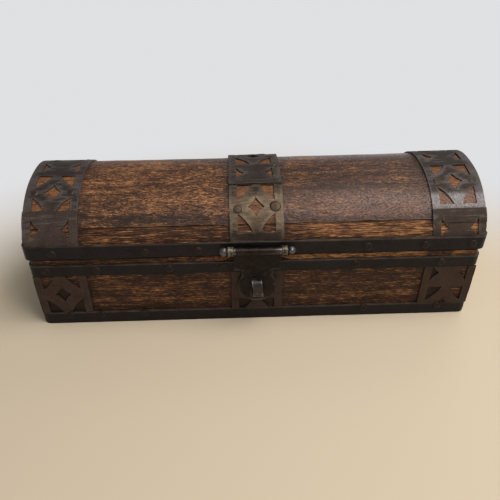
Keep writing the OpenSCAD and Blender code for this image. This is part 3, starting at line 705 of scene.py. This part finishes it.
@made_once
def iron_material(
    name, base, rub=0.5, stain=0.5, metal=0.65, gloss=0.50, pits=0.00012, shift=ORIGIN, bare=None,
    rub_and_highlight_z=None, rubbed=None, shaded_top=None,
):
    """Old iron of one base colour, with brown stain, dirt in the corners and rubbed edges. A strip round one
    height (the strap's top edge) is rubbed bare and carries a painted highlight, a span of heights at the top
    gets painted shade, both in metres, and the colour rubbed shows where painted."""
    s = bpy.context.scene.moneybox_iron
    material, net, surface, place = new_material(name)
    edge = net.add("ShaderNodeNewGeometry").outputs["Pointiness"]
    # Along the strap's top edge the iron is rubbed bare, and this also stands for the painted highlight there
    if rub_and_highlight_z:
        away = net.maths("ABSOLUTE", net.maths("SUBTRACT", net.split(place)[2], rub_and_highlight_z))
        edge = net.span(away, 0.0, 0.0009, 0.60, 0.5)
    # The worn value marks rubbed iron that also carries a painted highlight
    worn = net.attribute("worn")
    age = net.group(iron_age, Place=place, Edge=edge, Rub=rub, Worn=worn, Shift=shift)

    def mottled(colour, most):
        """The colour, mottled from half of it up to most times it."""
        stops = [(0.32, scaled(colour, 0.5)), (0.50, colour), (0.68, scaled(colour, most))]
        return net.ramp(age["Mottle"], stops)

    shade = mottled(base, 1.55)
    if rubbed:
        patches = net.maths("ADD", net.noise(place, 420.0, 5.0, 0.7), net.attribute("shine"))
        shade = net.mix(net.span(patches, 0.72, 1.15), shade, mottled(rubbed, 1.6))
    # Painted shade: the top of the band is darkened towards the crown
    if shaded_top:
        shade = net.mix(net.span(net.split(place)[2], *shaded_top, 0.0, 0.55, smooth=True), shade, TOP_SHADE)
    stained = net.times(age["Stain"], stain)
    shade = net.mix(stained, shade, tuple(s.rust))
    shade = net.mix(net.times(age["Grime"], 0.75), shade, DIRT)
    flat = net.most(stained, age["Grime"])
    rough = net.onto(gloss - 0.20, age["Mottle"], 0.40)
    rough = net.onto(rough, age["Stain"], 0.18)
    net.fill(surface, {
        "Base Color": net.mix(age["Bare"], shade, (*(bare or s.bare)[:3], 1.0)),
        "Metallic": net.onto(metal, flat, -0.7 * metal, clamp=True),
        "Roughness": net.onto(rough, age["Bare"], -0.12, clamp=True),
        "Specular IOR Level": 0.22,
        "Normal": net.bump(age["Height"], 0.7, pits),
    })
    return material


# ---- Box and lid boards ---------------------------------------------------------------------


def board(node, name, material, seed, bare, slot="stained_wood", step=0.008):
    """A board with worn edges and a face not quite flat; bare(centre, normal) picks its unstained faces."""
    s = bpy.context.scene.moneybox_wood
    piece = copy_of(node, name, step)
    low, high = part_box(node)

    def shape(p, n):
        depth = s.unevenness * (wander(p, 0.021, seed) + 0.6 * wander(p, 0.008, seed + 3) - 0.55)
        move = n * depth
        for axis in range(3):
            if not low[axis] <= p[axis] + move[axis] <= high[axis]:
                move[axis] = 0.0
        return move

    work(piece, shape)
    materials = [material, inside_wood_material("inside_wood")]
    finish_piece(piece, node, slot, materials, edge=s.edge)
    for face in piece.data.polygons:
        if bare(face.center, face.normal):
            face.material_index = 1


class MONEYBOX_OT_box_boards(bpy.types.Operator):
    """Dress the bottom and the four walls of the box"""

    bl_idname = "moneybox.box_boards"
    bl_label = "Box Boards"

    def execute(self, context):
        # The walls are darker towards the bottom
        wood = wood_material(
            "box_wood", wear=-0.15, shine=0.22, lip_right_tone=0.36, plate_stain=0.30, stretch=0.8,
            shift=(0.0, 0.37, 0.11), dark_low=8.0, dark_high=16.0, depth=0.05,
        )
        end = wood_material("box_end_wood", wear=-0.07, across=True, shift=(0.5, 0.1, 0.7))
        front_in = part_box("front_board")[1].y - SKIN
        back_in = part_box("back_board")[0].y + SKIN
        board("bottom_board", "floor_board", wood, 2, lambda c, n: n.z > 0.5)
        board("front_board", "front_wall", wood, 3, lambda c, n: n.y > 0.5 and c.y > front_in)
        board("back_board", "back_wall", wood, 4, lambda c, n: n.y < -0.5 and c.y < back_in)
        board("left_end_board", "left_wall", end, 5, lambda c, n: n.x > 0.5)
        board("right_end_board", "right_wall", end, 6, lambda c, n: n.x < -0.5)
        return {"FINISHED"}


class MONEYBOX_OT_lid_boards(bpy.types.Operator):
    """Dress the rails, the ends and the bent top of the lid"""

    bl_idname = "moneybox.lid_boards"
    bl_label = "Lid Boards"

    def execute(self, context):
        # The lid's wood is darker low on the shoulder and carries a painted sheen on its right shoulder
        top = wood_material(
            "lid_wood", wear=0.045, covered_wear=0.05, even=0.62, gloss=0.34, shine=0.28, stretch=1.4,
            dark_low=59.5, dark_high=67.0, depth=0.20, sheen_side=0.24, painted_sheen=0.45, right_tone=-0.12,
        )
        rail = wood_material(
            "rail_wood", wear=-0.13, shine=0.16, shift=(0.23, 0.0, 0.41), covered_wear=0.20, right_tone=0.13,
            stretch=0.5,
        )
        end = wood_material("lid_end_wood", wear=-0.06, across=True, shift=(0.1, 0.45, 0.2))
        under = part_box("lid_panel")[0].z + SKIN

        def hollow(c, n):
            return abs(n.x) < 0.5 and (n.z < -0.3 and c.z > under or n.z < 0.2 and n.y * c.y < 0)

        board("lid_panel", "lid_top", top, 7, hollow, step=0.005)
        board("lid_front_rail", "lid_rail_front", rail, 8, lambda c, n: n.y > 0.5, slot="worn_wood")
        board("lid_back_rail", "lid_rail_back", rail, 9, lambda c, n: n.y < -0.5, slot="worn_wood")
        board("lid_left_end", "lid_end_left", end, 10, lambda c, n: n.x > 0.5)
        board("lid_right_end", "lid_end_right", end, 11, lambda c, n: n.x < -0.5)
        return {"FINISHED"}


# ---- Straps, bands and plates ---------------------------------------------------------------


def strap(node, name, seed):
    """A strap cut by hand: its edges wander and its face is beaten."""
    s = bpy.context.scene.moneybox_iron
    low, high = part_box(node)

    def shape(p, n):
        flat = Vector((p.x, p.y, 0.0))
        top = wander(flat, 0.019, seed) + 0.55 * wander(flat, 0.007, seed + 2)
        foot = wander(flat, 0.023, seed + 5) + 0.5 * wander(flat, 0.008, seed + 6)
        share = (p.z - low.z) / (high.z - low.z)
        lift = s.wave * (share * top + (1 - share) * foot)
        lift = max(low.z - p.z, lift) if node == "foot_strap" else lift
        level = Vector((n.x, n.y, 0.0))
        if level.dot(Vector((p.x / abs(p.x or 1), p.y / abs(p.y or 1), 0))) > 0.3:
            level *= s.hammer * (wander(p, 0.0085, seed + 9) + 0.5 * wander(p, 0.0035, seed + 10) - 0.35)
        else:
            level *= 0.0
        return level + Vector((0, 0, lift))

    piece = copy_of(node, name, 0.005)
    work(piece, shape)
    # The strap's top edge is rubbed bare and carries a painted highlight
    metal = iron_material(
        f"strap_iron_{seed}", tuple(s.strap), rub=0.60, stain=0.14, metal=0.45, gloss=0.46,
        bare=(0.20, 0.160, 0.125), rub_and_highlight_z=high.z,
    )
    finish_piece(piece, node, "black_iron", [metal], edge=0.00022)


class MONEYBOX_OT_straps(bpy.types.Operator):
    """Beat out the three straps that run round the box"""

    bl_idname = "moneybox.straps"
    bl_label = "Straps"

    def execute(self, context):
        strap("foot_strap", "strap_foot", 21)
        strap("rim_strap", "strap_rim", 31)
        strap("lid_strap", "strap_lid", 41)
        return {"FINISHED"}


def arch_place(p):
    """Length along the arch from the crown (positive at the back), height over the wood, and way outwards."""
    y, z = abs(p.y), p.z - (LID_TOP - CROWN_R)
    run, radius = 0.0, CROWN_R
    if math.atan2(y, z) > CROWN_HALF:
        y -= R_STEP * math.sin(CROWN_HALF)
        z -= R_STEP * math.cos(CROWN_HALF)
        run, radius = R_STEP * CROWN_HALF, SHOULDER_R
    way = Vector((0.0, math.copysign(y, p.y), z)).normalized()
    return math.copysign(run + radius * math.atan2(y, z), p.y), math.hypot(y, z) - radius, way


def strip(p, first, last):
    """1 on a strip across the arch and 0 beyond it; each end fades from its first run to its second."""
    run = arch_place(p)[0]
    return fade(*first, run) * fade(*last, run)


def ease_laps(piece):
    """Turns the sharp step of a band's raised ends into a long bend."""
    mesh = piece.data
    places = [arch_place(v.co) for v in mesh.vertices]
    runs = [place[0] for place in places]
    middle = 0.5 * (min(runs) + max(runs))
    for end in (-1, 1):
        raised = [end * s for s, h, way in places if h > 1.4 * BAND_T and end * (s - middle) > 0]
        if not raised:
            continue
        step = min(raised)
        for v, (s, h, way) in zip(mesh.vertices, places):
            away = step - end * s
            if end * (s - middle) > 0 and 0.7 * BAND_T < h < 1.3 * BAND_T and -1e-5 < away < LAP_RAMP:
                v.co += way * BAND_T * (1.0 - fade(0.0, LAP_RAMP, away))
    bm = bmesh.new()
    bm.from_mesh(mesh)
    bmesh.ops.remove_doubles(bm, verts=bm.verts, dist=LAP_MERGE)
    bm.to_mesh(mesh)
    bm.free()


def sheet(node, name, metal, slot, seed):
    """A pierced piece whose cut edges wander a little and whose face ripples."""
    s = bpy.context.scene.moneybox_iron
    end_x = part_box("lid_panel")[1].x

    def shape(p, n):
        side = s.ripple * (wander(p, 0.013, seed) + 0.6 * wander(p, 0.005, seed + 1))
        out = s.hammer * 0.8 * (wander(p, 0.006, seed + 2) - 0.2)
        outward = max(0.0, n.z if p.z > FACES_UP_Z else abs(n.y))
        move = Vector((side, 0, 0)) + n * (max(out, -DEEPEST_DENT) * outward)
        if abs(abs(p.x) - end_x) < SKIN:
            move.x = 0
        return move

    piece = copy_of(node, name, 0.0025)
    if "band" in node:
        ease_laps(piece)
    if node == "centre_band_front":
        paint(piece, "shine", lambda p: strip(p, *SHINE_RUNS) * (0.55 + 0.45 * fade(-0.008, 0.006, p.x)))
    if node == "right_band_top":
        # A rubbed bright strip across the right band's shoulder, also a painted highlight
        paint(piece, "worn", lambda p: 0.85 * strip(p, *RUBBED_HIGHLIGHT_RUNS))
    work(piece, shape)
    finish_piece(piece, node, slot, [metal], edge=0.00016)


class MONEYBOX_OT_bands(bpy.types.Operator):
    """Lay the pierced bands over the lid"""

    bl_idname = "moneybox.bands"
    bl_label = "Pierced Bands"

    def execute(self, context):
        s = context.scene.moneybox_iron
        # The end bands' tops get painted shade towards the crown
        left = iron_material(
            "band_iron", tuple(s.band), rub=0.18, stain=0.30, metal=0.35, bare=(0.36, 0.31, 0.29),
            shaded_top=(0.058, 0.073),
        )
        right = iron_material(
            "right_band_iron", scaled(s.band, (0.84, 0.80, 0.70)), rub=0.18, stain=0.30, metal=0.35,
            gloss=0.62, shift=(0.6, 0.1, 0.3), bare=(0.36, 0.33, 0.32), shaded_top=(0.056, 0.071),
        )
        top = iron_material(
            "band_top_iron", scaled(s.band, 0.62), rub=0.24, stain=0.22, metal=0.40, gloss=0.52,
            shift=(0.2, 0.1, 0.0),
        )
        bronze = iron_material(
            "bronze_sheet", scaled(s.band, 0.55), rubbed=tuple(s.bronze), rub=0.20, stain=0.35, metal=0.70,
            gloss=0.44, shift=(0.0, 0.3, 0.1), bare=(0.36, 0.30, 0.20),
        )
        metals = {"left": left, "centre": top, "right": right}
        for i, (side, part) in enumerate(product(metals, ("front", "top", "back"))):
            lower = side == "centre" and part != "top"
            metal, slot = (bronze, "bronzed_iron") if lower else (metals[side], "brown_iron")
            sheet(f"{side}_band_{part}", f"pierced_{side}_{part}", metal, slot, 50 + 7 * i)
        return {"FINISHED"}


class MONEYBOX_OT_plates(bpy.types.Operator):
    """Set the pierced plates on the walls"""

    bl_idname = "moneybox.plates"
    bl_label = "Pierced Plates"

    def execute(self, context):
        s = context.scene.moneybox_iron
        metal = iron_material(
            "plate_iron", tuple(s.plate), rub=0.14, stain=0.55, metal=0.45, gloss=0.55, shift=(0.4, 0.0, 0.3),
            bare=(0.12, 0.095, 0.075),
        )
        for i, (face, side) in enumerate(product(("front", "back"), ("left", "centre", "right"))):
            sheet(f"{face}_plate_{side}", f"plate_{face}_{side}", metal, "brown_iron", 150 + 5 * i)
        return {"FINISHED"}


class MONEYBOX_OT_nails(bpy.types.Operator):
    """Drive in the hand-beaten nails"""

    bl_idname = "moneybox.nails"
    bl_label = "Nails"

    def execute(self, context):
        s = context.scene.moneybox_iron
        black = iron_material(
            "nail_iron", tuple(s.nail), rub=0.35, stain=0.25, metal=0.55, gloss=0.46, shift=(0.1, 0.2, 0.5),
            bare=(0.13, 0.11, 0.10),
        )
        bronze = iron_material(
            "band_nail_iron", scaled(s.bronze, 0.8), metal=0.6, gloss=0.48, shift=(0.7, 0.2, 0.5)
        )
        brown = iron_material(
            "end_nail_iron", scaled(s.band, 0.8), rub=0.4, stain=0.4, metal=0.6, gloss=0.48,
            shift=(0.3, 0.2, 0.1),
        )
        # Dark skirt round each head's foot: dirt, and painted shade of the groove round the head
        grime = iron_material("nail_grime", DIRT, rub=0.0, stain=0.2, metal=0.0, gloss=0.7)
        materials = [black, bronze, brown, grime]
        for node, name, slot, share in (
            ("foot_strap_nails", "nails_foot", "black_iron", 0.9),
            ("rim_strap_nails", "nails_rim", "black_iron", 0.9),
            ("lid_strap_nails", "nails_lid", "black_iron", 0.9),
            ("band_nails", "nails_bands", "brown_iron", 0.45),
            ("hinge_box_nails", "nails_hinge_box", "dark_iron", 0.45),
            ("hinge_lid_nails", "nails_hinge_lid", "dark_iron", 0.45),
        ):
            piece = nail_heads(node, name, s.head_height * share)
            finish_piece(piece, node, slot, materials, crease=50)
            faces_of_one = len(piece.data.polygons) // len(nail_places(node))
            for number, face in enumerate(piece.data.polygons):
                metal = black
                if node == "band_nails":
                    metal = bronze if abs(face.center.x) < CENTRE_BAND_REACH else brown
                # The skirt rings of black and bronze heads take the dirt and painted groove shade
                if number % faces_of_one < 2 * NAIL_SIDES and metal != brown:
                    metal = grime
                face.material_index = materials.index(metal)
        return {"FINISHED"}


# ---- Hasp, rod, eyes, staple and hinges -----------------------------------------------------


class MONEYBOX_OT_hasp(bpy.types.Operator):
    """Beat out the hasp with its rolled top"""

    bl_idname = "moneybox.hasp"
    bl_label = "Hasp"

    def execute(self, context):
        s = context.scene.moneybox_lock
        hammer = context.scene.moneybox_iron.hammer
        low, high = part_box("hasp")
        roll_y, roll_z = low.y + ROLL_R, high.z - ROLL_R
        metal = iron_material(
            "hasp_iron", tuple(s.hasp), rub=0.18, stain=0.30, metal=0.50, shift=(0.3, 0.3, 0.9),
            bare=(0.22, 0.23, 0.25),
        )
        polished = iron_material(
            "rolled_iron", scaled(s.hasp, 1.8), rub=0.7, stain=0.25, metal=0.85, gloss=0.32, pits=0.00006,
            shift=(0.3, 0.5, 0.9),
        )

        def shape(p, n):
            free = fade(0.0022, 0.006, roll_z - p.z)
            face = hammer * 1.2 * (wander(p, 0.006, 201) + 0.5 * wander(p, 0.0025, 203)) * abs(n.y)
            edge = 0.00018 * free * wander(p, 0.004, 207)
            return Vector((edge * (abs(n.x) > 0.4), n.y * face * free * 0.6, edge * (abs(n.z) > 0.4)))

        piece = copy_of("hasp", "hasp_plate", 0.0012)
        work(piece, shape)
        # The rim at the disc's foot is rubbed bright, and this is also a painted highlight
        paint(piece, "worn", lambda p: 0.8 * fade(low.z + 0.0014, low.z + 0.0006, p.z))
        finish_piece(piece, "hasp", "dark_iron", [metal, polished], edge=0.00018)
        for face in piece.data.polygons:
            if math.hypot(face.center.y - roll_y, face.center.z - roll_z) < ROLL_R + ROLL_SKIN:
                face.material_index = 1
        return {"FINISHED"}


class MONEYBOX_OT_rod(bpy.types.Operator):
    """Fit the rod with its balls and the eyes that hold it"""

    bl_idname = "moneybox.rod"
    bl_label = "Rod And Eyes"

    def execute(self, context):
        s = context.scene.moneybox_lock
        steel = iron_material(
            "rod_steel", tuple(s.steel), rub=0.8, stain=0.20, metal=0.95, gloss=0.34, pits=0.00008,
            shift=(0.9, 0.0, 0.3), bare=(0.55, 0.55, 0.55),
        )
        low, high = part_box("hasp_rod")
        centre = 0.5 * (low + high)
        ball = 0.5 * (high.z - low.z)

        def dented(p, n):
            if math.hypot(p.y - centre.y, p.z - centre.z) < ROD_R or abs(p.x) < high.x - 2 * ball:
                return Vector((0, 0, 0))
            return n * (0.00022 * wander(p, 0.0024, 221) + 0.0001 * wander(p, 0.001, 222) - 0.00012)

        piece = copy_of("hasp_rod", "rod", 0.0006, "x")
        work(piece, dented)
        finish_piece(piece, "hasp_rod", "worn_steel", [steel], crease=50)
        metal = iron_material(
            "eye_metal", tuple(s.eye), rub=0.40, gloss=0.42, pits=0.0002, shift=(0.0, 0.9, 0.3),
            bare=(0.42, 0.36, 0.25),
        )
        for side, seed in (("left", 231), ("right", 241)):
            node = f"hasp_eye_{side}"

            def ring(p, n):
                if p.y > EYE_LEG_Y:
                    return Vector((0, 0, 0))
                return n * (0.00016 * wander(p, 0.0022, seed) - 0.00004) * (abs(n.x) < 0.9)

            piece = copy_of(node, f"eye_{side}", 0.0009)
            work(piece, ring)
            finish_piece(piece, node, "bronzed_iron", [metal], edge=0.00035, segments=3)
        return {"FINISHED"}


class MONEYBOX_OT_staple(bpy.types.Operator):
    """Bend the staple that stands through the hasp"""

    bl_idname = "moneybox.staple"
    bl_label = "Staple"

    def execute(self, context):
        s = context.scene.moneybox_lock
        steel = iron_material(
            "staple_steel", scaled(s.steel, 0.40), stain=0.40, metal=0.85, gloss=0.40, pits=0.00018,
            shift=(0.2, 0.0, 0.9), bare=(0.42, 0.40, 0.38),
        )
        low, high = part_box("staple")

        def shape(p, n):
            free = fade(0.0, 0.0032, (low.y + 0.0052) - p.y)
            share = (high.z - p.z) / (high.z - low.z)
            lean = s.staple_lean * free * (share - 0.35)
            rough = 0.00012 * wander(p, 0.0025, 251)
            return Vector((lean + rough * free * abs(n.x), rough * abs(n.y) * free, 0))

        piece = copy_of("staple", "staple_strip", 0.0008)
        work(piece, shape)
        finish_piece(piece, "staple", "worn_steel", [steel], edge=0.00022)
        return {"FINISHED"}


class MONEYBOX_OT_hinges(bpy.types.Operator):
    """Fit the two butt hinges on the back"""

    bl_idname = "moneybox.hinges"
    bl_label = "Hinges"

    def execute(self, context):
        s = context.scene.moneybox_lock
        iron = iron_material("hinge_iron", scaled(s.hasp, 1.3), stain=0.45, metal=0.55, shift=(0.6, 0.0, 0.6))
        steel = iron_material(
            "pin_steel", scaled(s.steel, 0.7), rub=0.8, stain=0.35, metal=0.9, gloss=0.38,
            shift=(0.8, 0.1, 0.3),
        )
        for side in ("left", "right"):
            for node, name, slot, metal, edge in (
                (f"hinge_leaf_box_{side}", f"leaf_box_{side}", "dark_iron", iron, 0.00014),
                (f"hinge_leaf_lid_{side}", f"leaf_lid_{side}", "dark_iron", iron, 0.00014),
                (f"hinge_pin_{side}", f"pin_{side}", "worn_steel", steel, 0.0001),
            ):
                finish_piece(copy_of(node, name), node, slot, [metal], edge=edge)
        return {"FINISHED"}


# ---- Stage ----------------------------------------------------------------------------------


def lamp(name, place, aim, share, size, tint):
    """A soft square lamp that looks at a point, with that share of the key light's power."""
    data = bpy.data.lights.new(name, "AREA")
    data.energy = bpy.context.scene.moneybox_stage.key_power * share
    data.color = tint
    data.shape = "RECTANGLE"
    data.size = data.size_y = size
    piece = new_piece(name, data)
    piece.location = place
    piece.rotation_euler = (Vector(aim) - Vector(place)).to_track_quat("-Z", "Y").to_euler()


class MONEYBOX_OT_stage(bpy.types.Operator):
    """Set the pale floor, the soft light and the camera"""

    bl_idname = "moneybox.stage"
    bl_label = "Stage"

    def execute(self, context):
        scene = context.scene
        s = scene.moneybox_stage
        mesh = bpy.data.meshes.new("floor")
        bm = bmesh.new()
        bmesh.ops.create_grid(bm, x_segments=1, y_segments=1, size=FLOOR_HALF)
        bm.to_mesh(mesh)
        bm.free()
        floor = new_piece("floor", mesh)
        material, net, surface, place = new_material("pale_floor")
        away = net.add("ShaderNodeVectorMath", {0: place, 1: FLOOR_MIDDLE}, operation="DISTANCE")
        far = net.span(away.outputs["Value"], *FLOOR_FADE, smooth=True)
        net.fill(surface, {"Base Color": tuple(s.floor), "Roughness": 0.75, "Specular IOR Level": 0.2})
        glow = net.add("ShaderNodeEmission", {"Color": tuple(s.backdrop), "Strength": 1.0})
        blend = net.add("ShaderNodeMixShader", {0: far, 1: surface.outputs[0], 2: glow.outputs[0]})
        end = next(n for n in material.node_tree.nodes if n.type == "OUTPUT_MATERIAL")
        net.put(end.inputs["Surface"], blend.outputs[0])
        mesh.materials.append(material)

        world = bpy.data.worlds.new("daylight")
        scene.world = world
        world.use_nodes = True
        world.node_tree.nodes.clear()
        net = Net(world.node_tree)
        path = net.add("ShaderNodeLightPath").outputs
        seen = net.most(path["Is Camera Ray"], path["Is Transmission Ray"])
        direct = net.add("ShaderNodeBackground", {"Color": (0.80, 0.80, 0.81, 1.0), "Strength": 1.0})
        light = {"Color": (0.93, 0.96, 1.0, 1.0), "Strength": s.world_strength}
        light = net.add("ShaderNodeBackground", light)
        blend = net.add("ShaderNodeMixShader", {0: seen, 1: light.outputs[0], 2: direct.outputs[0]})
        net.add("ShaderNodeOutputWorld", {"Surface": blend.outputs[0]})

        lamp("overhead", (0.30, -0.14, 0.72), (0.03, 0.0, 0.05), 1.0, 0.50, (1.0, 0.985, 0.96))
        lamp("window", (0.60, 0.75, 0.70), (0.05, 0.0, 0.05), 0.30, 0.50, (1.0, 0.985, 0.96))
        lamp("side", (0.34, -0.50, 0.80), (0.07, -0.03, 0.05), 0.22, 0.22, (1.0, 0.96, 0.97))
        lamp("room", (-0.25, -0.85, 1.0), (0.0, 0.0, 0.03), 0.18, 1.2, (1.0, 0.97, 0.93))

        camera = new_piece("camera", bpy.data.cameras.new("camera"))
        camera.data.sensor_width = 36.0
        camera.data.lens = CAMERA_LENS
        camera.data.clip_start = 0.01
        camera.location = CAMERA_PLACE
        camera.rotation_euler = [math.radians(angle) for angle in CAMERA_TURN]
        scene.camera = camera
        scene.view_settings.view_transform = "Standard"
        return {"FINISHED"}


# ---- Panel and registration -----------------------------------------------------------------

PIECES = (
    MONEYBOX_OT_box_boards,
    MONEYBOX_OT_lid_boards,
    MONEYBOX_OT_straps,
    MONEYBOX_OT_bands,
    MONEYBOX_OT_plates,
    MONEYBOX_OT_nails,
    MONEYBOX_OT_hasp,
    MONEYBOX_OT_rod,
    MONEYBOX_OT_staple,
    MONEYBOX_OT_hinges,
    MONEYBOX_OT_stage,
)


class MONEYBOX_PT_panel(bpy.types.Panel):
    """Lists the pieces of the money box and their settings"""

    bl_idname = "MONEYBOX_PT_panel"
    bl_label = "Wooden Money Box"
    bl_space_type = "VIEW_3D"
    bl_region_type = "UI"
    bl_category = "Money Box"

    def draw(self, context):
        layout = self.layout
        for piece in PIECES:
            layout.operator(piece.bl_idname)
        for name, kind in SETTINGS.items():
            box = layout.box()
            box.label(text=kind.__doc__)
            for key in kind.__annotations__:
                box.prop(getattr(context.scene, name), key)


def register():
    for kind in SETTINGS.values():
        bpy.utils.register_class(kind)
    for name, kind in SETTINGS.items():
        setattr(bpy.types.Scene, name, bpy.props.PointerProperty(type=kind))
    for piece in PIECES:
        bpy.utils.register_class(piece)
    bpy.utils.register_class(MONEYBOX_PT_panel)


def unregister():
    bpy.utils.unregister_class(MONEYBOX_PT_panel)
    for piece in reversed(PIECES):
        bpy.utils.unregister_class(piece)
    for name in SETTINGS:
        delattr(bpy.types.Scene, name)
    for kind in reversed(list(SETTINGS.values())):
        bpy.utils.unregister_class(kind)


def main():
    register()
    for piece in PIECES:
        getattr(bpy.ops.moneybox, piece.bl_idname.split(".")[1])()


if __name__ == "__main__":
    main()
